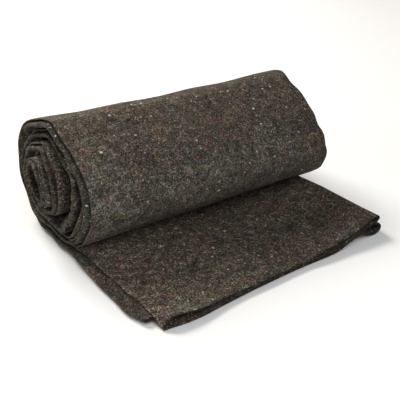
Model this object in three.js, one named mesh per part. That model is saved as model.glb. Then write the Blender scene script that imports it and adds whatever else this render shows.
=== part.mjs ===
// A wool fire blanket: one oblong of felted wool cloth, folded in four along its length and rolled up,
// with the start of the folded strip left lying flat in front of the roll.
// Millimetres, +Z up. X runs along the roll, the loose end lies towards -Y, and the floor is z = 0.
import * as THREE from "three";

// The cloth.
const THICKNESS = 3;
const CLOTH_COLOUR = 0x4b453d;

// The folded strip. Its layers are numbered from the floor up, 0 to 3: layer 0 starts at a cut edge on
// the left, and the cloth folds over at the right, the left and the right again, so that layer 3 ends at
// a cut edge on the left. Each edge and fold has its place across the strip, at the front, in the outer
// turns of the roll and in its core.
const STRIP_WIDTH = 385;
const EDGES = {
  cutBelow: { front: 6, roll: -9, core: -18 },
  foldBelow: { front: 388, roll: 389, core: 389 },
  foldLeft: { front: -17, roll: -15, core: -21 },
  foldAbove: { front: 382, roll: 387, core: 387 },
  cutAbove: { front: 0, roll: -5, core: -15 },
};
const FOLD_DEPTH = 2.2;
const FOLD_STEPS = 4;
const ACROSS = [0.35, 0.78, 0.91, 0.945];

// The loose end, from its front edge to the line where the roll rests on it.
const FRONT_Y = -267;
const FRONT_SKEW = 0.078;
const ROLL_LINE_Y = -61;
const LOOSE_SHARES = [0, 0.03, 0.2, 0.42, 0.7, 1];
const LOOSE_PITCH = { front: 3.6, roll: 4.2 };
const UNDER_ROLL_Y = -33;

// The right side of the loose end, where the two folds stand open: the height of each layer's middle
// above the floor at the front corner, at shares of the strip's width. It settles towards the roll.
const OPEN_SIDE = [
  { across: 0.7, layers: [1.5, 5.1, 8.7, 12.3] },
  { across: 0.78, layers: [3.0, 6.6, 10.2, 13.8] },
  { across: 0.91, layers: [10.8, 15.0, 19.0, 24.5] },
  { across: 0.945, layers: [4.5, 16.2, 20.2, 27.3] },
  { across: 0.975, layers: [1.5, 17.0, 21.0, 29.0] },
];
const OPEN_FOLD_DEPTH = { below: 11, above: 6 };
const OPENNESS = { front: 1, roll: 0.33, fade: 2.5 };

// The corner at the front left, where the two middle layers stop short and the top one droops.
const SET_BACK = { front: 28, across: 95, fade: 0.3 };
const DROOP = { front: 2.5, across: 55 };

// The outer turns of the roll. Each row is a ray from the roll's axis, by its angle from straight down
// towards the back: the radius of the outermost turn there, how far in each following turn lies, and how
// far the right end stands out.
const AXIS = { y: -4, z: 92 };
const RAYS = [
  { angle: 0, radius: 92, wind: 18, rim: 0 },
  { angle: 24, radius: 100.7, wind: 18, rim: -1 },
  { angle: 47, radius: 111, wind: 20, rim: -3 },
  { angle: 68, radius: 111.5, wind: 20.5, rim: -4 },
  { angle: 90, radius: 110.5, wind: 20.5, rim: -4 },
  { angle: 112, radius: 106, wind: 19.5, rim: -4 },
  { angle: 133, radius: 97.5, wind: 16.5, rim: -4 },
  { angle: 153, radius: 91.5, wind: 15.8, rim: -4 },
  { angle: 172, radius: 95, wind: 16, rim: -4 },
  { angle: 189, radius: 98.5, wind: 17, rim: -9 },
  { angle: 206, radius: 92.5, wind: 16.5, rim: -6.5 },
  { angle: 226, radius: 94.5, wind: 17, rim: -6.5 },
  { angle: 245, radius: 104.5, wind: 17.5, rim: -8 },
  { angle: 264, radius: 111.5, wind: 18, rim: -3 },
  { angle: 284, radius: 106.5, wind: 17.5, rim: 5 },
  { angle: 303, radius: 99, wind: 16.5, rim: 7 },
  { angle: 322, radius: 94.5, wind: 15.8, rim: 3 },
  { angle: 341, radius: 78.3, wind: 15.8, rim: 0 },
];
const RAY_COUNT = 71;
const LAYER_SHARES = [0, 0.33, 0.56, 0.78];
const SLIP_PER_TURN = -4.5;

// The core of the roll. The rolling began with a flat fold, so the inner turns lie flat round a straight
// line, which stands up from its lower end and leans back. It stops short of the first turn's top in the
// inner turn. The outer turns pass over into the core within a few rays.
const CORE = {
  firstRay: 43,
  overRays: 7,
  low: { y: -12.7, z: 83.6 },
  lean: 27,
  length: 38,
  shorter: { by: 10.5, firstRay: 49.5, overRays: 8 },
  straight: 2.2,
  reach: 39,
  wind: 13.9,
  stack: 13.6,
};

// How far the roll sinks along its length, as a share of its height, and how far the open folds under
// its right end lift it there.
const SINK = [
  { across: 0, share: 0 },
  { across: 0.35, share: 0.043 },
  { across: 0.78, share: 0.05 },
  { across: 1, share: 0.045 },
];
const LIFT = { height: 6, from: 0.7, gone: 100, firstRay: 13, overRays: 4 };

const { lerp, smoothstep, degToRad } = THREE.MathUtils;

// The value in one column of a table, read off in straight lines between its rows.
function readTable(table, across, column) {
  const last = table.length - 1;
  if (across <= table[0].across) return column(table[0]);
  if (across >= table[last].across) return column(table[last]);
  const next = table.findIndex((row) => row.across >= across);
  const [a, b] = [table[next - 1], table[next]];
  const share = (across - a.across) / (b.across - a.across);
  return lerp(column(a), column(b), share);
}

// A place along the loose end, as a share of the way from its front edge to the roll.
function looseStation(share) {
  const pitch = lerp(LOOSE_PITCH.front, LOOSE_PITCH.roll, share * share);
  const setBackFade = Math.max(0, 1 - share / SET_BACK.fade);
  return {
    edge: (name) => lerp(EDGES[name].front, EDGES[name].roll, share),
    plain: (layer) => layer * pitch + THICKNESS / 2,
    openness: lerp(OPENNESS.roll, OPENNESS.front, (1 - share) ** OPENNESS.fade),
    place(across, height, layer) {
      const middle = layer > 0.2 && layer < 2.8;
      const short = middle ? 1 - smoothstep(across, 10, SET_BACK.across) : 0;
      const front = FRONT_Y + FRONT_SKEW * across + SET_BACK.front * short * setBackFade;
      const droop = layer > 2.8 && share === 0 ? 1 - smoothstep(across, 0, DROOP.across) : 0;
      return { x: across, y: lerp(front, ROLL_LINE_Y, share), z: height - DROOP.front * droop };
    },
    sink: share,
    lift: 0,
  };
}

// One ray of one turn of the roll: its row, its turns so far, its direction, and how far it is in the core.
function rollRay(index) {
  const row = RAYS[index % RAYS.length];
  const turn = Math.floor(index / RAYS.length);
  const angle = degToRad(row.angle);
  return {
    row,
    turn,
    turns: turn + row.angle / 360,
    direction: new THREE.Vector2(Math.sin(angle), -Math.cos(angle)),
    inCore: smoothstep(index, CORE.firstRay, CORE.firstRay + CORE.overRays),
  };
}

// The strip's outer face in the roll, in y and z: a spiral of the rays, and then a spiral round a line.
function rollPath(index) {
  const { row, turn, direction, inCore } = rollRay(index);
  const outer = direction.clone().multiplyScalar(row.radius - turn * row.wind);
  outer.add(new THREE.Vector2(AXIS.y, AXIS.z));
  const lean = degToRad(CORE.lean);
  const line = new THREE.Vector2(Math.sin(lean), Math.cos(lean));
  const { by, firstRay, overRays } = CORE.shorter;
  const length = CORE.length - by * smoothstep(index, firstRay, firstRay + overRays);
  const up = THREE.MathUtils.clamp(CORE.straight * direction.dot(line), -1, 1);
  const reach = CORE.reach - (CORE.wind * (index - CORE.firstRay)) / RAYS.length;
  const core = new THREE.Vector2(CORE.low.y, CORE.low.z);
  core.addScaledVector(line, (length * (1 + up)) / 2).addScaledVector(direction, reach);
  return outer.lerp(core, inCore);
}

// The way in from the outer face: along the ray in the outer turns, square to the path in the core.
function wayIn(index) {
  const { direction, inCore } = rollRay(index);
  const before = rollPath(index - 1);
  const after = rollPath(Math.min(index + 1, RAY_COUNT - 1));
  const tangent = after.sub(before).normalize();
  const square = new THREE.Vector2(-tangent.y, tangent.x);
  return direction.clone().negate().lerp(square, inCore).normalize();
}

// A place in the roll, on one ray of one turn.
function rollStation(index) {
  const { row, turns, inCore } = rollRay(index);
  const path = rollPath(index);
  const inward = inCore > 0 ? wayIn(index) : rollRay(index).direction.negate();
  const slip = SLIP_PER_TURN * turns;
  const rim = (name) => (name === "foldBelow" || name === "foldAbove" ? row.rim : 0);
  const spaced = (layer) => lerp(LAYER_SHARES[layer] * row.wind, (layer * CORE.stack) / 4, inCore);
  return {
    edge: (name) => lerp(EDGES[name].roll, EDGES[name].core, inCore) + rim(name),
    plain: (layer) => spaced(layer) + THICKNESS / 2,
    openness: index < 2 ? OPENNESS.roll * (1 - index / 2) : 0,
    place(across, height) {
      return { x: across + slip, y: path.x + inward.x * height, z: path.y + inward.y * height };
    },
    sink: 1,
    lift: LIFT.height * smoothstep(index, LIFT.firstRay, LIFT.firstRay + LIFT.overRays),
  };
}

// The flat part of the strip that the roll stands on.
function underStation(y) {
  return { ...rollStation(0), place: (across, height) => ({ x: across, y, z: height }) };
}

// The height of a layer's middle: its plain place in the stack, or what the open side gives it.
function layerHeight(station, layer, across) {
  const share = across / STRIP_WIDTH;
  if (share <= OPEN_SIDE[0].across) return station.plain(layer);
  const open = readTable(OPEN_SIDE, share, (row) => row.layers[layer]);
  return lerp(station.plain(layer), open, station.openness);
}

// A fold from one layer up to the next, as two nested half ellipses. side is 1 at the right, -1 at the left.
function fold(station, name, depth, side, layer) {
  const edge = station.edge(name);
  const low = layerHeight(station, layer, edge);
  const high = layerHeight(station, layer + 1, edge);
  const ellipse = (angle, grow) => ({
    across: edge - side * depth + side * Math.max(depth + grow, 0.4) * Math.cos(angle),
    height: (low + high) / 2 + ((high - low) / 2 + grow) * Math.sin(angle),
  });
  return Array.from({ length: FOLD_STEPS + 1 }, (_, step) => {
    const angle = Math.PI * (step / FOLD_STEPS - 0.5);
    const outside = ellipse(angle, THICKNESS / 2);
    const inside = ellipse(angle, -THICKNESS / 2);
    return { layer: layer + step / FOLD_STEPS, faces: side > 0 ? [inside, outside] : [outside, inside] };
  });
}

// A point of a layer that lies flat, with its two faces. The cloth turns over at each fold.
function flat(station, layer, across) {
  const height = layerHeight(station, layer, across);
  const up = layer % 2 === 0 ? THICKNESS / 2 : -THICKNESS / 2;
  return { layer, faces: [up, -up].map((offset) => ({ across, height: height + offset })) };
}

// The section of the folded strip, from the cut edge below to the one above.
function foldedSection(station) {
  const run = (layer) => ACROSS.map((share) => flat(station, layer, share * STRIP_WIDTH));
  const below = lerp(FOLD_DEPTH, OPEN_FOLD_DEPTH.below, station.openness);
  const above = lerp(FOLD_DEPTH, OPEN_FOLD_DEPTH.above, station.openness);
  return [
    flat(station, 0, station.edge("cutBelow")),
    ...run(0),
    ...fold(station, "foldBelow", below, 1, 0),
    ...run(1).reverse(),
    ...fold(station, "foldLeft", FOLD_DEPTH, -1, 1),
    ...run(2),
    ...fold(station, "foldAbove", above, 1, 2),
    ...run(3).reverse(),
    flat(station, 3, station.edge("cutAbove")),
  ];
}

// Where a point of the section goes in space.
function inSpace(station, layer, { across, height }) {
  const { x, y, z } = station.place(across, height, layer);
  const share = across / STRIP_WIDTH;
  const sink = station.sink * readTable(SINK, share, (row) => row.share);
  const lift = station.lift * smoothstep(share, LIFT.from, 1) * Math.max(0, 1 - z / LIFT.gone);
  return new THREE.Vector3(x - STRIP_WIDTH / 2, y, z * (1 - sink) + lift);
}

// A closed solid between the two faces of a sheet: the faces, the cut edges and the ends.
// Each face is split along the same diagonal in every layer, so that stacked layers stay apart.
function sheetGeometry(sections) {
  const rows = sections.length;
  const columns = sections[0].length;
  const positions = sections.flat(2).flatMap((point) => point.toArray());
  const vertex = (row, column, side) => (row * columns + column) * 2 + side;
  const indices = [];
  const quad = (a, b, c, d) => indices.push(a, b, c, a, c, d);
  for (let r = 0; r < rows - 1; r++) {
    for (let c = 0; c < columns - 1; c++) {
      const rightward = sections[r][c + 1][0].x > sections[r][c][0].x;
      for (const side of [0, 1]) {
        const near = [vertex(r, c, side), vertex(r, c + 1, side)];
        const far = [vertex(r + 1, c + 1, side), vertex(r + 1, c, side)];
        const ring = [...near, ...far];
        if (!rightward) ring.push(ring.shift());
        if (side === 1) ring.reverse().unshift(ring.pop());
        quad(...ring);
      }
    }
    const end = columns - 1;
    quad(vertex(r, 0, 0), vertex(r + 1, 0, 0), vertex(r + 1, 0, 1), vertex(r, 0, 1));
    quad(vertex(r, end, 0), vertex(r, end, 1), vertex(r + 1, end, 1), vertex(r + 1, end, 0));
  }
  for (let c = 0; c < columns - 1; c++) {
    const end = rows - 1;
    quad(vertex(0, c, 0), vertex(0, c, 1), vertex(0, c + 1, 1), vertex(0, c + 1, 0));
    quad(vertex(end, c, 0), vertex(end, c + 1, 0), vertex(end, c + 1, 1), vertex(end, c, 1));
  }
  const geometry = new THREE.BufferGeometry();
  geometry.setAttribute("position", new THREE.Float32BufferAttribute(positions, 3));
  geometry.setIndex(indices);
  geometry.computeVertexNormals();
  return geometry;
}

const stations = [
  ...LOOSE_SHARES.map(looseStation),
  underStation(UNDER_ROLL_Y),
  ...Array.from({ length: RAY_COUNT }, (_, index) => rollStation(index)),
];

const wool = new THREE.MeshStandardMaterial({ color: CLOTH_COLOUR, roughness: 1, metalness: 0 });
const sections = stations.map((station) =>
  foldedSection(station).map(({ layer, faces }) => faces.map((face) => inSpace(station, layer, face))),
);
const blanket = new THREE.Mesh(sheetGeometry(sections), wool);
blanket.name = "blanket";

const group = new THREE.Group();
group.name = "wool_fire_blanket";
group.add(blanket);

export default group;
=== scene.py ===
# %% [markdown]
# # A wool fire blanket, folded in four and rolled
# The real blanket is one oblong of felted wool, 1.575 m by 2.032 m and two to three millimetres thick.
# It is folded back and forth into a strip of four layers, and the strip is rolled up from its far end,
# so that the near end still lies flat on the floor in front of the roll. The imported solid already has
# that shape with flat facets. Here the same strip is worked out again, finer and softer, with the
# unevenness of real cloth, and it gets the look of felt made from reclaimed wool.

import math

import bpy
import numpy as np
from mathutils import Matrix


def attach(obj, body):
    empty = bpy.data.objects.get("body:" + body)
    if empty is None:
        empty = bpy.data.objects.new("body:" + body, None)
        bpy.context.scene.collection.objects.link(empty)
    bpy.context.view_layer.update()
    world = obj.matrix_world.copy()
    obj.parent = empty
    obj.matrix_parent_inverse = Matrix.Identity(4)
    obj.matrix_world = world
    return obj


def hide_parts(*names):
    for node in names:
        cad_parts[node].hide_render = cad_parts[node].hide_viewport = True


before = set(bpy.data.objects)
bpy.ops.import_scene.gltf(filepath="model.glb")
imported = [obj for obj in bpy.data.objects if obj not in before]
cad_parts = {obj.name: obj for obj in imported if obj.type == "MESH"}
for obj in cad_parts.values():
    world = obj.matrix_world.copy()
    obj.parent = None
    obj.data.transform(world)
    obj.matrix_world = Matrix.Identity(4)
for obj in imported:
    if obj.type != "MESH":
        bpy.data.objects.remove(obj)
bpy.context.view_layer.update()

# %% [markdown]
# ## Curves through a few numbers
# A maker would describe the roll by a few measured radii and the eye fills in the rest. One helper does
# the same: it draws a smooth line through the rows of a table. A straight line between rows would show
# as a crease in the finished cloth, which is why each piece of the line is a cubic. The other helpers
# bring something in and out gently along the cloth.

# %% Smooth lines through tables
MM = 0.001


def smooth_line(knots, values, at):
    """A cubic between each two knots. Its slope at a knot is a mean of the slopes on both sides."""
    knots, values, at = np.asarray(knots, float), np.asarray(values, float), np.asarray(at, float)
    slopes = np.gradient(values, knots)
    left = np.clip(np.searchsorted(knots, at, side="right") - 1, 0, len(knots) - 2)
    span = knots[left + 1] - knots[left]
    t = np.clip((at - knots[left]) / span, 0, 1)
    ends = values[left] * (1 + 2 * t) * (1 - t) ** 2 + values[left + 1] * t**2 * (3 - 2 * t)
    bends = slopes[left] * t * (1 - t) ** 2 - slopes[left + 1] * t**2 * (1 - t)
    return ends + span * bends


def table_line(table, at):
    """The smooth line through a table of places and the values there."""
    return smooth_line(list(table), list(table.values()), at)


def ease(value, start, end):
    """0 up to start, 1 from end on, and an S-shaped climb between them."""
    t = np.clip((value - start) / (end - start), 0, 1)
    return t * t * (3 - 2 * t)


def within(value, start, full, fade, end):
    """0 up to start, 1 from full to fade and 0 again from end on, with S-shaped slopes."""
    return ease(value, start, full) * (1 - ease(value, fade, end))


def mix(a, b, share):
    """The value that lies that share of the way from a to b."""
    return a + (b - a) * share


print("half way up the climb:", ease(np.array([0.5]), 0, 1))

# %% [markdown]
# ## The stations along the strip
# The strip starts at its front edge, runs back over the floor, goes under the roll and winds up, turn
# inside turn. Each row of the cloth's grid is one station of that path. The roll is not round: it sags
# on its own weight, so a table gives its radius at each angle, counted from straight down towards the
# back, and how far in the next turn lies. A true spiral would need less, but would look like a coil.

# %% Measure the roll along rays
# In mm: the front edge and its skew, where the strip goes in under the roll, and the roll's axis.
FRONT_Y, FRONT_SKEW = -267.0, 0.078
ROLL_LINE_Y = -61.0
AXIS = np.array([-4.0, 92.0])
RAYS = np.array(
    [  # angle in degrees, radius in mm, wind in mm
        (0, 92.0, 18.0),
        (24, 100.7, 18.0),
        (47, 111.0, 20.0),
        (68, 111.5, 20.5),
        (90, 110.5, 20.5),
        (112, 106.0, 19.5),
        (133, 97.5, 16.5),
        (153, 91.5, 15.8),
        (172, 95.0, 16.0),
        (189, 98.5, 17.0),
        (206, 92.5, 16.5),
        (226, 94.5, 17.0),
        (245, 104.5, 17.5),
        (264, 111.5, 18.0),
        (284, 106.5, 17.5),
        (303, 99.0, 16.5),
        (322, 94.5, 15.8),
        (341, 78.3, 15.8),
    ],
    dtype=[(name, float) for name in ("angle", "radius", "wind")],
)
RAY_COUNT = 71

step = np.arange(RAY_COUNT)
ray, turn = RAYS[step % len(RAYS)], step // len(RAYS)
ray_angle = ray["angle"] + 360.0 * turn
ray_radius = ray["radius"] - turn * ray["wind"]
print("turns:", round(RAY_COUNT / len(RAYS), 1))

# %% [markdown]
# ## Rows of the grid
# Three numbers say where a station is: its share of the loose end, how far it has crept on under the
# roll, and its place on the winding, counted in rays. The rows are close together at the front edge, on
# the outer turn and where the second turn is crumpled, because those show.

# %% Place the stations
loose_rows = np.r_[0, 0.004, 0.01, 0.02, 0.036, np.linspace(0.058, 1, 36)]
under_rows = np.linspace(0, 1, 7)[1:-1]
roll_rows = np.r_[
    np.linspace(0, 18, 82),
    np.linspace(18, 29.5, 28)[1:],
    np.linspace(29.5, 37, 49)[1:],
    np.linspace(37, RAY_COUNT - 1, 76)[1:],
]
flat_count, roll_count = len(loose_rows) + len(under_rows), len(roll_rows)
share = np.r_[loose_rows, np.ones(len(under_rows) + roll_count)]
creep = np.r_[np.zeros(len(loose_rows)), under_rows, np.ones(roll_count)]
place = np.r_[np.zeros(flat_count), roll_rows]
in_roll = np.arange(flat_count + roll_count) >= flat_count

angle = smooth_line(step, ray_angle, place)
radius = smooth_line(ray_angle, ray_radius, angle)
wind = smooth_line(step, ray["wind"], place)
print("stations:", len(share), "of which in the roll:", roll_count)

# %% [markdown]
# ## The flat core
# Whoever rolled the blanket began with a flat fold, so its inner turns lie flat, lean back and leave
# hollows before and behind them. A spiral round a straight line gives that: a point goes up or down the
# line with the direction of its ray, and then out from the line by a reach that shrinks with each turn.
# The innermost turn rounds the ends of the line, or else the cloth would run into itself there. In the
# outer turns the layers are stacked along the ray, in the core square to the cloth.

# %% Wind the core
CORE_FROM, CORE_ALL = 43, 50
CORE_LOW, CORE_LEAN, CORE_STRAIGHT = np.array([-12.7, 83.6]), math.radians(27), 2.2
CORE_LENGTH, CORE_SHORTER, CORE_SHORTENS, CORE_ROUNDS = 38, 10.5, (49.5, 57.5), (56, 62)
CORE_REACH, CORE_WIND, CORE_STACK = 39.0, 13.9, 11.6
TINY = 1e-12


def unit(arrows):
    """The same directions, each with a length of 1; an arrow of no length stays as it is."""
    return arrows / (np.linalg.norm(arrows, axis=-1, keepdims=True) + TINY)


in_core = ease(place, CORE_FROM, CORE_ALL)[:, None]
outward = np.stack([np.sin(np.radians(angle)), -np.cos(np.radians(angle))], -1)
core_line = np.array([math.sin(CORE_LEAN), math.cos(CORE_LEAN)])
core_length = CORE_LENGTH - CORE_SHORTER * ease(place, *CORE_SHORTENS)
up_the_line = CORE_STRAIGHT * (outward @ core_line)
rounded = up_the_line / (1 + up_the_line**4) ** 0.25
up_the_line = mix(np.clip(up_the_line, -1, 1), rounded, ease(place, *CORE_ROUNDS))
up_the_line = core_length * (1 + up_the_line) / 2
core_reach = CORE_REACH - CORE_WIND * (place - CORE_FROM) / len(RAYS)
core_path = CORE_LOW + core_line * up_the_line[:, None] + outward * core_reach[:, None]

path = mix(AXIS + outward * radius[:, None], core_path, in_core)
tangent = np.gradient(path, axis=0)
square = unit(np.stack([-tangent[:, 1], tangent[:, 0]], -1))
inward = unit(mix(-outward, square, in_core))
print("the core leans back by", round(math.degrees(CORE_LEAN)), "degrees")

# %% [markdown]
# ## How uneven cloth is
# Felt never lies dead straight: edges wander by a few millimetres and faces swell and sink. A sum of a
# few sine waves with mixed directions and lengths gives that without any visible repeat. The phases
# come from a seeded generator, so each run makes the same blanket.

# %% Wandering lines and swelling faces
FULL_TURN = 2 * np.pi
LINE_WAVES, LINE_HEIGHT = 5, 2.6
FACE_WAVES, FACE_HEIGHT = 9, 3.6
MIDDLE_ACROSS = 192


def wander(at, length, seed):
    """Five sines of about that wavelength along one line, added up and scaled: about -1 to 1."""
    dice = np.random.default_rng(seed)
    waves, phases = length * dice.uniform(0.6, 1.7, LINE_WAVES), dice.uniform(0, FULL_TURN, LINE_WAVES)
    return np.sin(FULL_TURN * np.asarray(at, float)[..., None] / waves + phases).sum(-1) / LINE_HEIGHT


def swell(a, b, length, seed):
    """Nine plane waves of about that wavelength in mixed directions over (a, b): about -1 to 1."""
    dice = np.random.default_rng(seed)
    waves, phases = length * dice.uniform(0.7, 1.6, FACE_WAVES), dice.uniform(0, FULL_TURN, FACE_WAVES)
    ways = dice.uniform(0, FULL_TURN, FACE_WAVES)
    total = 0
    for wave, phase, way in zip(waves, phases, ways):
        total = total + np.sin(FULL_TURN * (a * np.cos(way) + b * np.sin(way)) / wave + phase)
    return total / FACE_HEIGHT


middle_front = FRONT_Y + FRONT_SKEW * MIDDLE_ACROSS
path_y = np.where(in_roll, path[:, 0], mix(ROLL_LINE_Y, AXIS[0], creep))
path_y = np.where(share < 1, mix(middle_front, ROLL_LINE_Y, share), path_y)
path_z = np.where(in_roll, path[:, 1], 0)
along = np.r_[0, np.cumsum(np.hypot(np.diff(path_y), np.diff(path_z)))]
print("length of the strip on its outer face:", round(along[-1]), "mm")

# %% [markdown]
# ## The folded section
# Across the strip the cloth goes from a cut edge on the left to a fold on the right, back to a fold on
# the left, to the right again, and ends at a second cut edge on the left. So five lines along the strip
# hold the whole section: two cut edges, two folds on the right and one on the left. Each goes from one
# place across to another and wanders a little on the way. On the right end of the roll the folds also
# follow a table, because no turn ends flush there.

# %% Draw the five lines
THICKNESS, STRIP_WIDTH = 2.4, 385.0
EDGES = {  # place across at the front, in the outer turns, in the core; how far it wanders; seed
    "cut_below": (6, -9, -18, 1.6, 11),
    "fold_below": (390.5, 389, 389, 0.6, 12),
    "fold_left": (-17, -15, -21, 2.0, 13),
    "fold_above": (387, 387, 387, 0.8, 14),
    "cut_above": (4, -5, -15, 1.4, 15),
}
EDGE_WAVE, CORE_EDGES = 90, (51, 60)
RIM = {  # angle in the turn: how far the right end stands out there
    0: 0, 47: -3, 90: -4, 160: -4, 180: -5, 190: -9.5, 200: -10, 206: -6.5, 212: -4.5, 222: -5.5,
    230: -7, 240: -7.2, 248: -8.8, 254: -4.5, 260: -2.2, 264: -3.2, 270: 1, 276: 4.5, 286: 6,
    296: 9, 306: 8, 322: 3, 341: 0, 360: 0,
}

to_core = ease(place, *CORE_EDGES)
edge = {
    name: mix(mix(front, rolled, share), core, to_core) + stray * wander(along, EDGE_WAVE, seed)
    for name, (front, rolled, core, stray, seed) in EDGES.items()
}
rim = np.where(in_roll, table_line(RIM, angle % 360), 0)
for name in ("fold_below", "fold_above"):
    edge[name] = edge[name] + rim
print("edge lines:", ", ".join(edge))

# %% [markdown]
# ## Layers that slipped
# At the left end the four layers of a turn don't lie flush. In front of the roll, on top of the second
# turn and low at the back, some stand out and others lie further in, which gives the end its stepped
# look. Each of these is a stretch of the winding that comes in and goes out gently, so the shifts can
# be added to the edge lines. The left fold is also drawn in at the front edge.

# %% Shift the left edges
NARROW = {0: 11.7, 0.05: 7.5, 0.12: 3, 0.22: 0, 0.34: 0, 0.5: 0, 1: 0}
front_of_roll = within(angle, 170, 235, 305, 350)
second_top = within(place, 22.5, 25, 29.5, 33)
first_back = within(place, 2.2, 3.4, 4.6, 6)
outer_back = within(place, 0.6, 2.2, 5.4, 7)
SLIPS = {  # mm to the right at each of these four stretches
    "cut_below": (6, 10, 0, -5),
    "fold_left": (7, 10, 16, 0),
    "cut_above": (-4, 10, 12, 0),
}
for name, slips in SLIPS.items():
    edge[name] = edge[name] + np.array(slips) @ [front_of_roll, second_top, first_back, outer_back]
edge["fold_left"] = edge["fold_left"] + table_line(NARROW, share)
print("left fold, mm across:", np.round([edge["fold_left"].min(), edge["fold_left"].max()], 1))

# %% [markdown]
# ## Heights in the stack
# On the floor the four layers lie one on another, a little looser towards the roll. In the roll they
# take their shares of the room that a turn leaves. Low at the front of the second turn the weight of the
# roll has pushed the layers into small waves, so there the stack spreads and each layer but the outermost
# gets a sine of its own.

# %% Stack the layers
FRONT_PITCH, BACK_PITCH = 3.6, 4.2
LAYER_SHARES = np.array([0, 0.29, 0.49, 0.69])
SPREAD, SPREAD_PLACES = 1.1, (29.3, 32.4, 32.9, 36.2)
CRUMPLE_RATE, CRUMPLE_PHASE, CRUMPLE_HEIGHT = [0, 8.8, 10.6, 9.6], [0, 0.6, 2.4, 4.0], [0, 1.5, 2.4, 2.8]
ROLL_STACKS_FROM, ROLL_STACKS_ALL = 0, 0.5

pitch = mix(FRONT_PITCH, BACK_PITCH, share**2)
lowest = THICKNESS / 2
plain_loose = np.arange(4) * pitch[:, None] + lowest
plain_roll = mix(LAYER_SHARES * wind[:, None], np.arange(4) * CORE_STACK / 4, in_core) + lowest
spread = SPREAD * within(place, *SPREAD_PLACES)[:, None]
crumple = spread * np.sin(place[:, None] * CRUMPLE_RATE + CRUMPLE_PHASE) * CRUMPLE_HEIGHT
plain_roll = mix(plain_roll, lowest, -spread) + crumple
plain = mix(plain_loose, plain_roll, ease(creep, ROLL_STACKS_FROM, ROLL_STACKS_ALL)[:, None])
print("layers under the roll, mm:", np.round(plain[len(loose_rows) + 2], 1))

# %% [markdown]
# ## The open corner
# Near the front corner on the right the two folds stand open as loops, and the layers rise to them. A
# small table gives the height of each layer there, and a line says how open the side still is further
# back. One function then gives any layer's height at any place across, which keeps the flat runs and
# the folds in step.

# %% Open the folds at the front
OPEN_SIDE = {  # share of the width: height of the middle of each layer at the front corner
    0.62: (1.4, 5.1, 8.8, 12.6),
    0.7: (1.4, 5.6, 9.8, 14.0),
    0.78: (2.8, 7.2, 11.6, 16.0),
    0.87: (11.4, 14.3, 17.4, 22.0),
    0.91: (10.8, 15.4, 19.4, 25.2),
    0.945: (4.5, 16.4, 20.3, 28.0),
    0.975: (1.4, 17.0, 20.6, 29.4),
    1.06: (1.4, 17.0, 20.6, 29.4),
}
OPENNESS = {0: 1, 0.2: 0.87, 0.5: 0.74, 0.8: 0.66, 0.93: 0.5, 1: 0.36}
OPEN_ACROSS, OPEN_RAYS = (0.62, 0.72), 2
PRESSED, PRESSED_ACROSS, PRESSED_FADE = 0.27, (60, 150, 250, 300), (0.25, 0.7)
openness = table_line(OPENNESS, share) * np.clip(1 - place / OPEN_RAYS, 0, 1)


def layer_height(layer, across):
    """The layer's plain place in the stack, pressed down in the middle of the front edge, and drawn
    towards the open side's line by how open it stands."""
    width = across / STRIP_WIDTH
    pressed = PRESSED * within(across, *PRESSED_ACROSS) * (1 - ease(share, *PRESSED_FADE))[:, None]
    stacked = mix(plain[:, [layer]], THICKNESS / 2, pressed)
    opened = smooth_line(list(OPEN_SIDE), [row[layer] for row in OPEN_SIDE.values()], width)
    return mix(stacked, opened, openness[:, None] * ease(width, *OPEN_ACROSS))


print("top of the open corner, mm:", round(float(layer_height(3, edge["fold_above"][:, None])[0, 0]), 1))

# %% [markdown]
# ## The grid of both faces
# The cloth is a grid of stations by places across. Each point has two faces, half the thickness to
# either side. The thickness tapers over the last few millimetres of a cut edge, as the fibres there are
# rubbed round. A fold is a half ellipse of the cloth's middle, with a larger one for the outer face and
# a smaller one for the inner. The columns crowd together at edges and folds, where the section turns.

# %% Shapes of a layer and of a fold
SHOWN = np.r_[0, 0.0018, 0.005, 0.011, 0.022, 0.037, 0.055, np.linspace(0.078, 0.965, 38), 0.985]
HIDDEN = np.r_[0, 0.015, 0.035, 0.06, np.linspace(0.1, 0.6, 7), 0.64, 0.67, 0.7]
HIDDEN = np.r_[HIDDEN, 0.74, 0.79, 0.83, 0.87, 0.9, 0.925, 0.945, 0.965, 0.985]
FOLD_STEPS, LEAST_REACH = 12, 0.4
taper_front = np.interp(share, [0, 0.004, 0.01, 0.02], [0.3, 0.64, 0.86, 1])[:, None]
taper_side = np.interp(SHOWN, [0, 0.0018, 0.005], [0.45, 0.86, 1])
half = THICKNESS / 2 * taper_front


def flat_run(layer, start, end, shares, taper):
    """A layer that lies flat from start to end: its faces lie above and below its height."""
    across = mix(start[:, None], end[:, None], shares)
    height = layer_height(layer, across)
    upper = half * taper if layer % 2 == 0 else -half * taper
    return np.stack([across, across], -1), np.stack([height + upper, height - upper], -1)


def fold_run(layer, at, depth, side):
    """Half ellipses from one layer up to the next: half the cloth larger outside, half smaller inside."""
    low, high = (layer_height(layer + up, at[:, None])[..., None] for up in (0, 1))
    round_it = np.linspace(-np.pi / 2, np.pi / 2, FOLD_STEPS + 1)[:, None]
    grow = np.stack([-half, half] if side > 0 else [half, -half], -1)
    reach = np.maximum(depth[:, None, None] + grow, LEAST_REACH)
    centre = (at - side * depth)[:, None, None]
    across = centre + side * reach * np.cos(round_it)
    height = (low + high) / 2 + ((high - low) / 2 + grow) * np.sin(round_it)
    return across, height


print("columns on a shown layer:", len(SHOWN), "and on a hidden one:", len(HIDDEN))

# %% [markdown]
# ## One section at every station
# Seven runs make the section, in the order in which the cloth goes: layer, fold, layer, fold and so on.
# Each column keeps the number of its layer, and a fold counts as half way between its two layers, so
# later steps can pick out the top layer or the folds.

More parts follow.
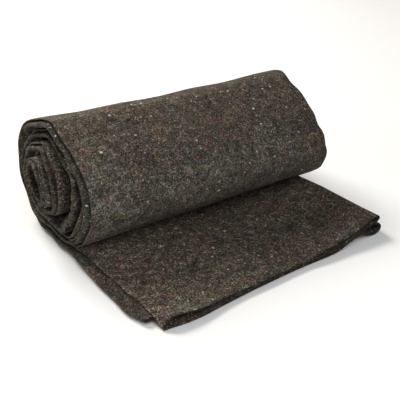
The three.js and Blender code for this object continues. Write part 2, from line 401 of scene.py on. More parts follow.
# %% Work out the section at every station
FOLD_DEPTH, OPEN_BELOW, OPEN_ABOVE = 2.2, 12, 9.5
FOLD_STRAY, FOLD_WAVE = 0.5, 60
depth_below, depth_above = mix(FOLD_DEPTH, OPEN_BELOW, openness), mix(FOLD_DEPTH, OPEN_ABOVE, openness)
depth_left = FOLD_DEPTH + FOLD_STRAY * wander(along, FOLD_WAVE, 16)
right_below, right_above = edge["fold_below"] - depth_below, edge["fold_above"] - depth_above
left_fold = edge["fold_left"] + depth_left
full = np.ones(len(HIDDEN) - 1)
runs = [
    (0, flat_run(0, edge["cut_below"], right_below, SHOWN, taper_side)),
    (0.5, fold_run(0, edge["fold_below"], depth_below, 1)),
    (1, flat_run(1, left_fold, right_below, HIDDEN[:0:-1], full)),
    (1.5, fold_run(1, edge["fold_left"], depth_left, -1)),
    (2, flat_run(2, left_fold, right_above, HIDDEN[1:], full)),
    (2.5, fold_run(2, edge["fold_above"], depth_above, 1)),
    (3, flat_run(3, edge["cut_above"], right_above, SHOWN[::-1], taper_side[::-1])),
]
across = np.concatenate([run[0] for _, run in runs], 1)
height = np.concatenate([run[1] for _, run in runs], 1)
layer_of = np.concatenate([np.full(run[0].shape[1], layer) for layer, run in runs])
print("grid of the cloth:", across.shape[:2], "points on each face")

# %% [markdown]
# ## The loose end on the floor
# On the floor a point keeps its place across and its height. The front edge is bowed and runs askew,
# and its layers don't end at the same line. At the front left corner the two middle layers stop short
# and the top one droops over them. All of this moves points back, forth or down by a table or an eased
# step, which keeps the sheet free of kinks.

# %% Lay the loose end
SET_BACK, SET_BACK_ACROSS, SET_BACK_FADE = 20.0, (10, 95), 0.3
DROOP, DROOP_ACROSS, DROOP_ALONG = 10.0, (1, 14), (0, 0.11)
RISE, RISE_ACROSS = 4.5, (8, 20, 24, 85)
BOW = {  # place across: how far the front edge stands out
    -30: 0, 0: 0.5, 20: 3, 40: 6, 65: 7, 95: 4.5, 130: 2.5,
    165: 1.5, 205: 0.5, 260: 1.5, 300: 4, 330: 3.5, 365: 0.5, 420: 0,
}
# place across: how far the top layer's front edge lies behind the lowest one's
LEAN = {-30: 1.5, 0: 1.5, 60: 0, 100: 1, 180: -2, 260: -2, 300: 0, 385: 0.5, 420: 0.5}
FRONT_STRAY, FRONT_WAVE, LAYER_SHIFT = 0.8, 110, 31
LUMP, LUMP_WAVE, LUMP_FULL_HEIGHT, LUMP_ALONG = 0.7, 85, 14, (0, 0.1, 0.8, 1)

s, c, layers = share[:, None, None], creep[:, None, None], layer_of[:, None]
middle, top = (layers > 0.2) & (layers < 2.8), layers > 2.8
short = np.where(middle, 1 - ease(across, *SET_BACK_ACROSS), 0) * np.clip(1 - s / SET_BACK_FADE, 0, 1)
front = FRONT_Y + FRONT_SKEW * across - table_line(BOW, across) + SET_BACK * short
front = front + FRONT_STRAY * wander(across + LAYER_SHIFT * layers, FRONT_WAVE, 17)
front = front + layers / 3 * table_line(LEAN, across)
flat_y = np.where(s < 1, mix(front, ROLL_LINE_Y, s), mix(ROLL_LINE_Y, AXIS[0], c))

droop = DROOP * (1 - ease(across, *DROOP_ACROSS)) - RISE * within(across, *RISE_ACROSS)
droop = np.where(top, droop * (1 - ease(s, *DROOP_ALONG)), 0)
lumps = LUMP * swell(across, flat_y, LUMP_WAVE, 18) * within(s, *LUMP_ALONG)
flat_z = height - droop + lumps * np.clip(height / LUMP_FULL_HEIGHT, 0, 1)
print("front edge, mm:", np.round([flat_y.min(), flat_y[0].max()], 1))

# %% [markdown]
# ## Winding the roll
# In the roll the height counts inwards from the outermost turn, and the strip drifts to the left turn
# by turn, as it does when a blanket is rolled by hand. Faces bulge a little, and the lower front of the
# outer turns is tucked in, more so on the right, which leaves the dark line between the roll and the
# loose end.

# %% Wind it up
TUCK = {0: 0.5, 0.1: 1.5, 0.33: 3.2, 0.6: 5, 0.78: 7, 1: 4.5}
TUCK_ANGLES, TUCK_LESS, TUCK_LESS_PLACES = (288, 321, 332, 354), 0.2, (22, 30)
BULGE, BULGE_WAVE, MEAN_RADIUS = 1.1, 120, 100
SLIP_PER_TURN, ON_FLOOR_ANGLE = -4.5, math.radians(40)

a, turned = np.radians(angle)[:, None, None], (angle % 360)[:, None, None]
width, rolled, outer_turns = across / STRIP_WIDTH, in_roll[:, None, None], 1 - in_core[:, None]
girth = np.radians(turned) * MEAN_RADIUS
bulge = BULGE * swell(across, girth, BULGE_WAVE, 19) * np.sin(a / 2) ** 2 * outer_turns
tuck = table_line(TUCK, width) * outer_turns * within(turned, *TUCK_ANGLES)
tuck = tuck * (1 - TUCK_LESS * ease(place, *TUCK_LESS_PLACES))[:, None, None]
wound = path[:, None, None] + inward[:, None, None] * (height - bulge + tuck)[..., None]
wound_y, wound_z = wound[..., 0], wound[..., 1]
wound_z = np.where(a < ON_FLOOR_ANGLE, np.maximum(wound_z, height), wound_z)

x = across + np.where(rolled, SLIP_PER_TURN * a / FULL_TURN, 0)
y = np.where(rolled, wound_y, flat_y)
z = np.where(rolled, wound_z, flat_z)
print("deepest tuck, mm:", round(float(tuck.max()), 1))

# %% [markdown]
# ## How the roll settles
# The whole roll sags a little along its length, its right end rests on the open folds, and the top of
# the left end has slumped. These act on the finished heights, because they move all turns together.

# %% Let it settle
SINK = {0: 0, 0.35: 0.043, 0.78: 0.05, 1: 0.045}
LIFT, LIFT_PLACES, LIFT_ACROSS, LIFT_TO_HEIGHT = 6, (13, 17), (0.7, 1), 100
SLUMP, SLUMP_ANGLES, SLUMP_ACROSS = 4, (140, 165, 205, 250), (0, 0.22)
lift = LIFT * ease(place, *LIFT_PLACES)[:, None, None] * ease(width, *LIFT_ACROSS)
lift = lift * np.maximum(0, 1 - z / LIFT_TO_HEIGHT)
slump = SLUMP * within(turned, *SLUMP_ANGLES) * outer_turns * rolled * (1 - ease(width, *SLUMP_ACROSS))
z = np.maximum(z * (1 - table_line(SINK, width) * s) + lift - slump, 0)
cloth = np.stack([x - STRIP_WIDTH / 2, y, z], -1) * MM
print("highest point, mm:", round(float(z.max()), 1))

# %% [markdown]
# ## From the grid to a mesh
# Both faces of the sheet are quads of the grid. The cut edges and the two ends close it, so that the
# cloth is one watertight skin. A Solidify modifier on a single sheet is the usual way, but in a tight
# fold its inner face can cross itself. Here each face has an ellipse of its own there.

# %% Build the blanket's mesh
rows, columns = cloth.shape[:2]


def grid_faces(rows, columns):
    """Quads of both faces, then a rim of quads round all four edges, each turned outwards."""
    vertex = np.arange(rows * columns * 2).reshape(rows, columns, 2)
    corner = [vertex[:-1, :-1], vertex[:-1, 1:], vertex[1:, 1:], vertex[1:, :-1]]
    upper = np.stack([q[..., 0] for q in corner], -1).reshape(-1, 4)
    lower = np.stack([q[..., 1] for q in corner[::-1]], -1).reshape(-1, 4)

    def strip(line, flip):
        quads = np.stack([line[:-1, 0], line[1:, 0], line[1:, 1], line[:-1, 1]], -1)
        return quads[:, ::-1] if flip else quads

    first, last = strip(vertex[:, 0], False), strip(vertex[:, -1], True)
    near, far = strip(vertex[0], True), strip(vertex[-1], False)
    return np.concatenate([upper, lower, first, last, near, far])


def mesh_from(name, points, faces):
    """A smooth-shaded mesh object from arrays of points and of faces with equal numbers of corners."""
    mesh = bpy.data.meshes.new(name)
    count, corners = faces.shape
    mesh.vertices.add(len(points))
    mesh.vertices.foreach_set("co", points.astype(np.float32).ravel())
    mesh.loops.add(count * corners)
    mesh.loops.foreach_set("vertex_index", faces.astype(np.int32).ravel())
    mesh.polygons.add(count)
    mesh.polygons.foreach_set("loop_start", np.arange(0, count * corners, corners, dtype=np.int32))
    mesh.polygons.foreach_set("use_smooth", np.ones(count, bool))
    mesh.update(calc_edges=True)
    made = bpy.data.objects.new(name, mesh)
    bpy.context.scene.collection.objects.link(made)
    return made


blanket = mesh_from("felted_blanket", cloth.reshape(-1, 3), grid_faces(rows, columns))
print("blanket:", len(blanket.data.polygons), "quads")

# %% [markdown]
# ## Where a point lies on the unrolled cloth
# The felt was made flat, so its pattern has to be drawn on the flat cloth. A named attribute keeps each
# point's place there: over the cloth, along it, and down through its thickness. The folds on the right
# are wider at the front corner than elsewhere. What they take there is shared out over the cloth next
# to them, or the pattern would be stretched on the loops.

# %% Keep the places on the cloth
EASED_OVER = 100
middle_across, middle_height = across.mean(-1), height.mean(-1)
run_over = np.hypot(np.diff(middle_across, axis=1), np.diff(middle_height, axis=1))
over = np.r_[0, np.cumsum(np.hypot(np.diff(middle_across.mean(0)), np.diff(middle_height.mean(0))))]


def eased_over(fold):
    """How far a fold's wide loops move the places on the cloth: out from the fold, fading with distance."""
    there = np.nonzero(layer_of == fold)[0]
    first, last = there[0], there[-1]
    extra = np.cumsum(run_over[:, first:last] - np.diff(over[first : last + 1]), 1)
    half_extra = extra[:, -1:] / 2
    moved = np.where(np.arange(columns) < first, -half_extra, half_extra)
    moved[:, first : last + 1] = np.c_[0 * half_extra, extra] - half_extra
    off_loop = np.maximum(over[first] - over, over - over[last])
    return moved * (1 - ease(off_loop, 0, EASED_OVER))


flat_place = np.empty((rows, columns, 2, 3), np.float32)
flat_place[..., 0] = ((over + eased_over(0.5) + eased_over(2.5)) * MM)[:, :, None]
flat_place[..., 1] = (along * MM)[:, None, None]
flat_place[..., 2] = np.array([0.0, THICKNESS * MM])
attribute = blanket.data.attributes.new("cloth", "FLOAT_VECTOR", "POINT")
attribute.data.foreach_set("vector", flat_place.ravel())
print("unfolded width:", round(over[-1]), "mm")

# %% [markdown]
# ## A small language for shader maths
# A material is a graph of nodes, and wiring it by hand hides the idea. One class wraps an output and
# lets plain expressions add the Math nodes; every other node comes from one method, which sets the
# node's choices first and then its inputs.

# %% Wrap sockets so that expressions make nodes
def both_ways(operation):
    """An operator's plain form, and its reflected form for a number on the left."""
    return (
        lambda wire, other: wire.maths(operation, wire, other),
        lambda wire, other: wire.maths(operation, other, wire),
    )


class Wire:
    """An output of a node. Arithmetic with numbers or other wires adds Math nodes."""

    def __init__(self, tree, socket):
        self.tree, self.socket = tree, socket

    def maths(self, operation, first, second):
        """One Math node on two numbers or wires."""
        return self.tree.add("ShaderNodeMath", {"operation": operation}, {0: first, 1: second})

    __add__, __radd__ = both_ways("ADD")
    __sub__, __rsub__ = both_ways("SUBTRACT")
    __mul__, __rmul__ = both_ways("MULTIPLY")
    __truediv__, __rtruediv__ = both_ways("DIVIDE")
    __pow__, __rpow__ = both_ways("POWER")

    def between(self, low, high):
        """0 below low, 1 above high, an S-shaped climb between them."""
        inputs = {"Value": self, "From Min": low, "From Max": high}
        return self.tree.add("ShaderNodeMapRange", {"interpolation_type": "SMOOTHSTEP"}, inputs)

    def within(self, start, full, fade, end):
        """0 up to start, 1 from full to fade and 0 again from end on."""
        return self.between(start, full) * (1 - self.between(fade, end))


print("operators: + - * / **")

# %% [markdown]
# ## What every finish needs
# The second class holds the tree of one material. It adds nodes, mixes colours, draws noise at a number
# of waves a metre, takes a colour or a vector apart, and ends the tree in a shader on a piece.

# %% Wrap a material's tree
class Finish:
    """The node tree of a material or of the world."""

    def __init__(self, owner):
        self.owner = owner
        owner.use_nodes = True
        self.tree = owner.node_tree
        self.tree.nodes.clear()

    def add(self, kind, settings=None, inputs=None, output=0):
        """A node of that kind: its settings first, then values or wires for its inputs."""
        node = self.tree.nodes.new(kind)
        for key, value in (settings or {}).items():
            setattr(node, key, value)
        for key, value in (inputs or {}).items():
            if isinstance(value, Wire):
                self.tree.links.new(value.socket, node.inputs[key])
            else:
                node.inputs[key].default_value = value
        return Wire(self, node.outputs[output]) if node.outputs else None

    def blend(self, share, first, second, way="MIX"):
        """Two colours mixed by a share."""
        settings = {"data_type": "RGBA", "blend_type": way}
        return self.add("ShaderNodeMix", settings, {0: share, 6: first, 7: second}, 2)

    def tinted(self, colour, tint, share=1.0):
        """A colour multiplied by a tint, by a share."""
        return self.blend(share, colour, tint, "MULTIPLY")

    def parts(self, kind, whole):
        """The three parts of a colour or a vector."""
        return [self.add(kind, {}, {0: whole}, part) for part in range(3)]

    def moved(self, at, by):
        """Coordinates moved by a step."""
        return self.add("ShaderNodeVectorMath", {"operation": "ADD"}, {0: at, 1: by})

    def noise(self, at, scale, detail=2.0, rough=0.55, seed=0.0):
        """Cloudy noise of that many waves a metre, about 0.5."""
        at = self.moved(at, (seed, seed * 0.7, seed * 1.3))
        inputs = {"Vector": at, "Scale": scale, "Detail": detail, "Roughness": rough}
        return self.add("ShaderNodeTexNoise", {}, inputs)

    def cover(self, piece, shader, inputs):
        """End the tree in that shader and put the material on the piece."""
        surface = self.add(shader, {}, inputs)
        self.add("ShaderNodeOutputMaterial", {}, {"Surface": surface})
        piece.data.materials.append(self.owner)


print("shader helpers ready")

# %% [markdown]
# ## The felt
# Reclaimed wool is torn back to fibre and felted, so its colour is a heather: pale and dark fibres in
# clumps of two or three millimetres, crossed by streaks of hair that lie at several angles, with larger
# locks and clouds under them. Each of these is a noise at its real size on the unrolled cloth. They add
# up as doublings of light, because that is how the eye compares fibres.

# %% Clumps, hairs and locks
GRAIN, HAIR, FLOCK, LOCKS, CLOUDS = 8.2, 3.2, 1.4, 2.7, 1.2  # doublings of light over the whole range
WARP_WAVES, WARP, FLOCK_CELLS = 300.0, (0.004, 0.004, 0.004), 470.0
felt = Finish(bpy.data.materials.new("felted_wool"))
on_cloth = felt.add("ShaderNodeAttribute", {"attribute_name": "cloth"}, {}, 1)
warp = felt.add("ShaderNodeTexNoise", {}, {"Vector": on_cloth, "Scale": WARP_WAVES, "Detail": 1.0}, 1)
warp = felt.add("ShaderNodeVectorMath", {"operation": "MULTIPLY_ADD"}, {0: warp, 1: WARP, 2: on_cloth})


def hairs(turn, seed):
    """Noise drawn out into streaks of about 1.5 mm by 10 mm that lie at that angle."""
    inputs = {"Vector": warp, "Rotation": (0, 0, turn), "Scale": (1.0, 7.0, 1.0)}
    drawn_out = felt.add("ShaderNodeMapping", {"vector_type": "TEXTURE"}, inputs)
    return felt.noise(drawn_out, 680, detail=1.0, rough=0.5, seed=seed)


flock = felt.add("ShaderNodeTexVoronoi", {}, {"Vector": warp, "Scale": FLOCK_CELLS}, 1)
flock, flock_hue, flock_dye = felt.parts("ShaderNodeSeparateColor", flock)
grain = felt.noise(on_cloth, 400, detail=3.0, rough=0.7, seed=1.7)
hair = hairs(0.35, seed=3.3) + hairs(1.3, seed=4.9) + hairs(2.5, seed=6.1)
locks = felt.noise(on_cloth, 70, rough=0.5, seed=5.9)
cloudy = felt.noise(on_cloth, 11, rough=0.5, seed=7.3)
heather = (grain - 0.5) * GRAIN + (hair - 1.5) * HAIR + (flock - 0.5) * FLOCK
heather = heather + (locks - 0.5) * LOCKS + (cloudy - 0.5) * CLOUDS
print("felt nodes so far:", len(felt.tree.nodes))

# %% [markdown]
# ## Painted light and shade on the cloth
# The loose end carries painted shade: it is darker all over, most of all at its front and at the folds
# on the right. It also carries painted light, paler towards the roll and less so at the cut edges, which
# lifts the shade that the roll casts on it. The whole cloth is painted paler towards its cut edges on the
# left, a painted light that makes the roll lighter towards its left end. Soft steps over the flat cloth say
# where, again in doublings of light. The distance from the middle of the cloth is kept squared, so both
# halves count alike. Each flock of fibre then leans a little to one hue or another.

# %% Shade the wool
WOOL, WOOL_WARM, WOOL_COOL = (0.0558, 0.0446, 0.0339, 1), (1.07, 1.0, 0.92, 1), (0.94, 1.0, 1.07, 1)
DYE_ROSY, DYE_GREEN = (1.05, 0.94, 1.0, 1), (0.96, 1.05, 0.98, 1)
# Painted light and shade, in doublings of light: lighter towards the cut edges and near the roll, darker
# over the loose end and at its right folds.
LIGHT_TO_CUT_EDGES, EVERYWHERE = 0.52, -0.17
NEAR_ROLL_LIGHT, NEAR_ROLL_LIGHT_LESS, LOOSE_EDGE_LIGHT, RIGHT_FOLD_SHADE, LOOSE_END_SHADE = 0.62, 0.5, 0.3, -0.4, -0.46
LOOSE_CONTRAST = 0.2
cloth_width = float(over[-1]) * MM
over_cloth, along_cloth, into_cloth = felt.parts("ShaderNodeSeparateXYZ", on_cloth)
off_centre = over_cloth - cloth_width / 2
off_centre = off_centre * off_centre
loose_end = 1 - along_cloth.between(0.21, 0.26)
right_fold = off_centre.within(0.128, 0.142, 0.16, 0.175)
# Painted light: paler towards the roll, less so at the cut edges, lifting the shade the roll casts on the
# loose end.
light_near_roll = along_cloth.between(0.03, 0.19) * (NEAR_ROLL_LIGHT - off_centre.between(0.2, 0.55) * NEAR_ROLL_LIGHT_LESS)
# Painted light and shade on the loose end: paler to the left, darker at the right folds and darker all
# over.
painted_light_and_shade = light_near_roll + off_centre.between(0.25, 0.6) * LOOSE_EDGE_LIGHT + right_fold * RIGHT_FOLD_SHADE + LOOSE_END_SHADE
heather = heather * (1 + loose_end * LOOSE_CONTRAST) + loose_end * painted_light_and_shade
# Painted light: the whole cloth paler towards its cut edges, so the roll is lighter towards its left end.
heather = heather + off_centre.between(0.17, 0.62) * LIGHT_TO_CUT_EDGES + EVERYWHERE
lightness = 2**heather

wool_colour = felt.tinted(WOOL, lightness)
wool_colour = felt.tinted(wool_colour, felt.blend(flock_hue, WOOL_WARM, WOOL_COOL))
wool_colour = felt.tinted(wool_colour, felt.blend(flock_dye, DYE_ROSY, DYE_GREEN))
print("width of the pattern, metres:", round(cloth_width, 3))

# %% [markdown]
# ## Tints by place
# The front of the roll has a greyer, paler band: partly paler wool, partly painted cool light on the front
# of the roll. Inside the roll the felt is painted darker, as painted shade, and in the slits between the
# layers darker still, as painted shadow. The front edge of the loose end is painted greyer and darker, as
# painted shade, and so are its folds on the right. Each is a tint with its own mask, so one can be changed
# without the others.

# %% Tint the band and paint shade inside the roll, in the slits and on the edges
GREY_PLACE, GREY_HALF, GREY_RAGGED = 13.6, 0.085, 2.0
SECOND_TURN, START_SHARE, FRONT_SHADE, FOLD_SHADE = (19, 21), 0.55, 0.8, 0.5
# The first tint is partly paler wool and partly painted cool front light; the other three are painted shade
# and painted shadow.
GREY_AND_FRONT_LIGHT, INNER_SHADE = (1.25, 1.43, 1.55, 1), (0.84, 0.91, 0.97, 1)
SLIT_SHADOW, EDGE_SHADE = (0.36, 0.38, 0.39, 1), (0.66, 0.75, 0.78, 1)


def along_at(ray_place):
    """How far along the cloth, in metres, a place on the winding lies."""
    return float(np.interp(ray_place, place[in_roll], along[in_roll])) * MM


off_middle = (along_cloth - along_at(GREY_PLACE)) / GREY_HALF
ragged = felt.noise(on_cloth, 9, detail=1.0, rough=0.5, seed=2.9) - 0.5
# Partly paler wool, partly painted cool light on the front of the roll.
grey_and_front_light = (1 - off_middle * off_middle + ragged * GREY_RAGGED).between(-0.2, 0.9)
grey_and_front_light = grey_and_front_light * off_centre.between(0.15, 0.27)
wool_colour = felt.tinted(wool_colour, GREY_AND_FRONT_LIGHT, grey_and_front_light)

# Painted shade: the felt inside the roll, past the outer layer, is darker.
shaded_inner_layers = over_cloth.between(0.38, 0.42) * along_cloth.between(0.25, 0.3)
wool_colour = felt.tinted(wool_colour, INNER_SHADE, shaded_inner_layers)
# Painted shadow: the faces in the slits between the layers, and at the start of the second turn, are darker
# still.
off_crest = over_cloth - float(over[layer_of == 1.5].mean()) * MM
off_crest = (off_crest * off_crest).between(0.0022**2, 0.0046**2) * (1 - over_cloth.between(1.17, 1.19))
off_edge = over_cloth.within(1.18, 1.2, cloth_width - 0.007, cloth_width - 0.003)
off_start = over_cloth.within(0.004, 0.009, 0.36, 0.38)
off_start = off_start * along_cloth.between(*map(along_at, SECOND_TURN))
slit_shadow = (off_crest + off_edge) * shaded_inner_layers + off_start * START_SHARE
wool_colour = felt.tinted(wool_colour, SLIT_SHADOW, slit_shadow)

# Painted shade: greyer and darker at the front edge and at the right folds of the loose end.
edge_shade = (1 - along_cloth.between(0.001, 0.006)) * FRONT_SHADE + right_fold * loose_end * FOLD_SHADE
wool_colour = felt.tinted(wool_colour, EDGE_SHADE, edge_shade)
print("middle of the grey band, metres along:", round(along_at(GREY_PLACE), 2))

# %% [markdown]
# ## Dyed tufts
# Where a coloured garment went into the wool, tufts of dull red, navy, olive and rust are left. A noise
# for each colour gives blots of one or two centimetres, and they keep the light and dark of the fibres,
# because the dyed wool was felted with the rest.

# %% Mix in the tufts
TUFTS = {  # colour, waves a metre, noise at which it starts and is full, strength, seed
    "maroon": ((0.08, 0.036, 0.034, 1), 62, 0.52, 0.78, 0.85, 11.0),
    "navy": ((0.037, 0.042, 0.055, 1), 66, 0.56, 0.82, 0.65, 23.0),
    "olive": ((0.06, 0.058, 0.03, 1), 52, 0.5, 0.76, 0.75, 31.0),
    "rust": ((0.09, 0.06, 0.036, 1), 60, 0.56, 0.82, 0.6, 47.0),
    "grey_green": ((0.049, 0.055, 0.047, 1), 32, 0.5, 0.75, 0.6, 53.0),
}
for colour, scale, start, full, strength, seed in TUFTS.values():
    tuft = felt.noise(on_cloth, scale, rough=0.6, seed=seed).between(start, full)
    wool_colour = felt.blend(tuft * strength, wool_colour, felt.tinted(colour, lightness))
print("tufts:", ", ".join(TUFTS))

# %% [markdown]
# ## Knots of fibre
# Small balls of fibre stay whole in the felt: many pale ones, and a few in red, tan or blue. They are
# round cells of a Voronoi pattern, of which only some are chosen, each with its own size and shade.
# Warping the coordinates a little keeps them from being perfect discs.

# %% Scatter the knots
RED_DYE, TAN_DYE, BLUE_DYE = (0.17, 0.03, 0.03, 1), (0.115, 0.068, 0.03, 1), (0.032, 0.043, 0.085, 1)
SMALL_KNOTS = (0.14, 0.122, 0.1, 1), (0.42, 0.4, 0.37, 1)
LARGE_KNOTS = (0.24, 0.22, 0.185, 1), (0.68, 0.67, 0.63, 1)
DYED_COVER, SMALL_COVER, LARGE_COVER = 0.75, 0.8, 0.9


def knots(cells, share_chosen, least, most, seed):
    """Chosen cells of a Voronoi pattern, each a spot with its own size between least and most, in metres:
    its mask, and a number for its colour."""
    settings = {"voronoi_dimensions": "2D"}
    inputs = {"Vector": felt.moved(warp, (seed, seed, 0.0)), "Scale": cells}
    distance, colour = (felt.add("ShaderNodeTexVoronoi", settings, inputs, output) for output in (0, 1))
    pick, size, tint = felt.parts("ShaderNodeSeparateColor", colour)
    reach = size * size * (most - least) * cells / 2 + least * cells / 2
    spot = 1 - (distance / reach).between(0.5, 1.0)
    return spot * pick.between(1 - share_chosen, 1.005 - share_chosen), tint


dyed_knots, dyed_tint = knots(60.0, 0.17, least=0.002, most=0.0052, seed=3.7)
small_knots, small_tint = knots(120.0, 0.3, least=0.0012, most=0.0025, seed=0.3)
large_knots, large_tint = knots(70.0, 0.21, least=0.0019, most=0.0046, seed=1.9)
dyed_colour = felt.blend(dyed_tint.between(0.5, 0.51), RED_DYE, TAN_DYE)
dyed_colour = felt.blend(dyed_tint.between(0.8, 0.81), dyed_colour, BLUE_DYE)
wool_colour = felt.blend(dyed_knots * DYED_COVER, wool_colour, dyed_colour)
wool_colour = felt.blend(small_knots * SMALL_COVER, wool_colour, felt.blend(small_tint, *SMALL_KNOTS))
wool_colour = felt.blend(large_knots * LARGE_COVER, wool_colour, felt.blend(large_tint, *LARGE_KNOTS))
print("felt nodes so far:", len(felt.tree.nodes))

# %% [markdown]
# ## The cut faces and the shader
# A cut face shows the ends of the fibres, which are darker than their sides, and it also carries painted
# shade. The depth through the cloth says where that is. A matt shader with a little sheen carries all the
# colour, and the same clumps and hairs raise a fine bump, so that light and colour agree.

# %% Finish the felt
# The near black on the cut faces is partly the darker fibre ends, partly painted shade.
CUT_ENDS_AND_SHADE, CUT_SHARE = (0.008, 0.0075, 0.007, 1), 0.4
depth = into_cloth / (THICKNESS * MM)
cut_face = (depth * (1 - depth)).between(0.02, 0.2)
wool_colour = felt.blend(cut_face * CUT_SHARE, wool_colour, CUT_ENDS_AND_SHADE)

fuzz = grain * 0.4 + hair * 0.12 + flock * 0.1 + large_knots * 0.15
fuzz = fuzz + felt.noise(on_cloth, 900, rough=0.6, seed=9.1) * 0.34
bumps = felt.add("ShaderNodeBump", {}, {"Strength": 0.6, "Distance": 0.0009, "Height": fuzz})
felt.cover(
    blanket,
    "ShaderNodeBsdfPrincipled",
    {
        "Base Color": wool_colour,
        "Roughness": 0.95,
        "Specular IOR Level": 0.15,
        "Sheen Weight": 0.06,
        "Sheen Roughness": 0.6,
        "Sheen Tint": (0.75, 0.7, 0.64, 1),
        "Normal": bumps,
    },
)
print("felt nodes:", len(felt.tree.nodes))

# %% [markdown]
# ## Stray fibres
# Here and there a single long fibre has worked loose and lies on the cloth as a pale line of one or two
# centimetres. A shader cannot draw such a line well, so each is a thin three-sided tube on the outer face
# of the cloth. First come the paths: each starts somewhere on the loose end or on the outer turn and
# bends as it goes, and the grid turns its place on the cloth into a point in space.

# %% Choose the fibres' paths
FIBRES_ON_LOOSE_END, FIBRES_ON_ROLL, FIBRE_POINTS = 130, 330, 9
FIBRE_LENGTHS, FIBRE_BEND = (7, 24), 1.1
LOOSE_LENGTH, RAY_LENGTH = ROLL_LINE_Y - FRONT_Y, 35
dice = np.random.default_rng(41)
count = FIBRES_ON_LOOSE_END + FIBRES_ON_ROLL
steps = np.linspace(-1, 1, FIBRE_POINTS)
on_loose = (np.arange(count) < FIBRES_ON_LOOSE_END)[:, None]

size = dice.uniform(*FIBRE_LENGTHS, (count, 1))
heading = dice.uniform(0, FULL_TURN, (count, 1))
heading = heading + dice.uniform(-FIBRE_BEND, FIBRE_BEND, (count, 1)) * steps
go_over, go_along = (np.cumsum(way(heading), 1) * size / FIBRE_POINTS for way in (np.cos, np.sin))
width_share = np.clip(dice.uniform(0.01, 0.97, (count, 1)) + go_over / STRIP_WIDTH, 0.004, 0.98)
loose_share = np.clip(dice.uniform(0.01, 0.95, (count, 1)) + go_along / LOOSE_LENGTH, 0.003, 0.99)
roll_place = np.clip(dice.uniform(2, 16.7, (count, 1)) + go_along / RAY_LENGTH, 1.5, 17)

row_on_loose = np.interp(loose_share, loose_rows, np.arange(len(loose_rows)))
row_on_roll = np.interp(roll_place, roll_rows, np.arange(roll_count)) + flat_count
column = np.interp(width_share, SHOWN, np.arange(len(SHOWN)))
row = np.clip(np.where(on_loose, row_on_loose, row_on_roll), 0, rows - 1.1)
column = np.clip(np.where(on_loose, columns - 1 - column, column), 0.05, columns - 1.1)
print("fibres:", count, "of", round(size.min()), "to", round(size.max()), "mm")

# %% [markdown]
# ## Tubes round the paths
# The slope of the cloth under a fibre gives its upward side, so that the tube lies on the face and is
# hardly sunk in. It thins out towards both ends. All fibres are one mesh from one set of arrays, and a
# number on each says how pale it is.

# %% Draw the fibres
NEARBY, SIDES, RAISED, FIBRE_RADII = 0.05, np.radians([90, 210, 330])[:, None], 0.7, (0.13, 0.22)


def on_outer_face(row, column):
    """Points between rows and columns of the cloth's outer face, mixed from the four corners round each."""
    r, c = np.floor(row).astype(int), np.floor(column).astype(int)
    down, aside = (row - r)[..., None], (column - c)[..., None]
    face = cloth[:, :, 1]
    near, far = mix(face[r, c], face[r, c + 1], aside), mix(face[r + 1, c], face[r + 1, c + 1], aside)
    return mix(near, far, down)


spine = on_outer_face(row, column)
up = np.cross(on_outer_face(row + NEARBY, column) - spine, on_outer_face(row, column + NEARBY) - spine)
up = up / np.linalg.norm(up, axis=-1, keepdims=True)
away = np.where(on_loose[..., None], [0, 0, 1], spine * [0, 1, 1] - np.r_[0, AXIS] * MM)
up = up * np.sign((up * away).sum(-1, keepdims=True))
side = unit(np.cross(up, np.gradient(spine, axis=1)))
thick = dice.uniform(*FIBRE_RADII, (count, 1)) * MM * np.sqrt(1.001 - steps**2)
ring = np.cos(SIDES) * side[:, :, None] + (np.sin(SIDES) + RAISED) * up[:, :, None]
tube = spine[:, :, None] + thick[:, :, None, None] * ring

corner = np.arange(tube[..., 0].size).reshape(count, FIBRE_POINTS, len(SIDES))
after = np.roll(corner, -1, 2)
tube_faces = np.stack([corner[:, :-1], corner[:, 1:], after[:, 1:], after[:, :-1]], -1).reshape(-1, 4)
fibres = mesh_from("stray_fibres", tube.reshape(-1, 3), tube_faces)
tone = np.repeat(dice.uniform(0, 1, count), FIBRE_POINTS * len(SIDES)).astype(np.float32)
fibres.data.attributes.new("tone", "FLOAT", "POINT").data.foreach_set("value", tone)
print("stray fibres:", count, "with", len(fibres.data.polygons), "quads")

# %% [markdown]
# ## The fibres' colour
# Most stray fibres are undyed wool, from tan to near white, and a few are red or blue. The number on
# each fibre picks its colour, and a fine noise makes it mottled along its length.

# %% Dye the fibres
UNDYED = (0.24, 0.215, 0.18, 1), (0.5, 0.48, 0.44, 1)
RED_FIBRE, BLUE_FIBRE = (0.14, 0.05, 0.045, 1), (0.05, 0.06, 0.09, 1)
yarn = Finish(bpy.data.materials.new("stray_fibre"))
tone = yarn.add("ShaderNodeAttribute", {"attribute_name": "tone"}, {}, 2)
fibre_colour = yarn.blend(tone, *UNDYED)
fibre_colour = yarn.blend(tone.between(0.86, 0.87), fibre_colour, RED_FIBRE)
fibre_colour = yarn.blend(tone.between(0.93, 0.94), fibre_colour, BLUE_FIBRE)
mottle = yarn.noise(yarn.add("ShaderNodeTexCoord", {}, {}, 3), 500).between(0.3, 0.7) * 0.5 + 0.6
fibre_colour = yarn.tinted(fibre_colour, mottle)
yarn.cover(fibres, "ShaderNodeBsdfPrincipled", {"Base Color": fibre_colour, "Roughness": 0.85})
print("fibre nodes:", len(yarn.tree.nodes))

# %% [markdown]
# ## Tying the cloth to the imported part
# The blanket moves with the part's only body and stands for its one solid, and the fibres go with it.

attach(blanket, "root")
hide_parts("blanket")
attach(fibres, "root")

# %% [markdown]
# ## Floor and surroundings
# A pale matt floor fills the whole picture, a hair below the cloth so that the two faces don't fight.
# The world is a faint even white, which keeps the shadows from going black.

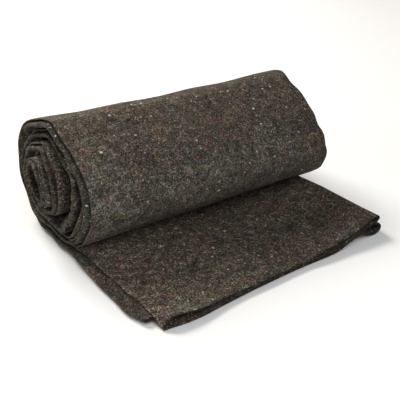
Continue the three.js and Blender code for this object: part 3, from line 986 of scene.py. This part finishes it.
# %% Lay the floor
FLOOR_HALF, FLOOR_DROP, FLOOR_PAINT, WORLD_GLOW = 9.0, 0.0002, (0.96, 0.96, 0.96, 1), 0.08
floor_points = np.array([(-1, -1, 0), (1, -1, 0), (1, 1, 0), (-1, 1, 0)]) * FLOOR_HALF - (0, 0, FLOOR_DROP)
floor = mesh_from("floor", floor_points, np.array([[0, 1, 2, 3]]))
Finish(bpy.data.materials.new("pale_floor")).cover(floor, "ShaderNodeBsdfDiffuse", {"Color": FLOOR_PAINT})

scene = bpy.context.scene
scene.view_settings.view_transform = "Standard"
studio = Finish(bpy.data.worlds.new("studio"))
glow = studio.add("ShaderNodeBackground", {}, {"Color": (1, 1, 1, 1), "Strength": WORLD_GLOW})
studio.add("ShaderNodeOutputWorld", {}, {"Surface": glow})
scene.world = studio.owner
print("floor:", 2 * FLOOR_HALF, "m square")

# %% [markdown]
# ## Four softboxes
# The strongest light hangs high behind the blanket, so the roll's top is brightest and the loose end
# lies in its soft shade. Two weaker ones, above and in front, come from high enough that the underside
# of the roll stays dark. A faint one on the left shows the turns at the end of the roll.

# %% Hang the lights
SOFTBOXES = {  # where it hangs, what it faces, its size in metres, watts, colour
    "softbox_behind": ((-0.4, 2.1, 2.1), (0, 0, 0), 1.4, 98, (1.0, 0.96, 0.9)),
    "softbox_above": ((-0.6, -1.35, 2.6), (0, 0, 0), 2.4, 20, (1.0, 0.98, 0.95)),
    "softbox_in_front": ((-0.35, -2.25, 1.95), (0, 0, 0), 1.6, 30, (0.95, 0.98, 1.0)),
    "softbox_left": ((-1.7, 0.2, 0.9), (0, 0, 0.1), 0.9, 3.6, (0.97, 0.99, 1.0)),
}


def soft_light(name, stand, aim, size, power, colour):
    """A square area light that stands there and faces its aim."""
    light = bpy.data.lights.new(name, "AREA")
    light.size, light.energy, light.color = size, power, colour
    lamp = bpy.data.objects.new(name, light)
    back = np.subtract(stand, aim)
    across_floor = math.hypot(back[0], back[1])
    lamp.location = stand
    lamp.rotation_euler = (math.atan2(across_floor, back[2]), 0, math.atan2(back[0], -back[1]))
    scene.collection.objects.link(lamp)


for name, setting in SOFTBOXES.items():
    soft_light(name, *setting)
print("lights:", ", ".join(SOFTBOXES))

# %% [markdown]
# ## The camera
# It looks down at the blanket's left front corner, from where the loose end, the front of the roll and
# its left end all show. Its place and focal length were fitted to the corners of the loose end.

# %% Set the camera
CAMERA_PLACE = (-0.5874, -0.9543, 0.5905)
CAMERA_AZIMUTH, CAMERA_ELEVATION = -33.367, 27.544
FOCAL_PIXELS, PICTURE_PIXELS, SENSOR = 819.946, 400, 36
view = bpy.data.cameras.new("camera")
view.sensor_width, view.lens = SENSOR, FOCAL_PIXELS / PICTURE_PIXELS * SENSOR
camera = bpy.data.objects.new("camera", view)
camera.location = CAMERA_PLACE
camera.rotation_euler = (math.radians(90 - CAMERA_ELEVATION), 0, math.radians(CAMERA_AZIMUTH))
scene.collection.objects.link(camera)
scene.camera = camera
print("lens, mm:", round(view.lens, 1))
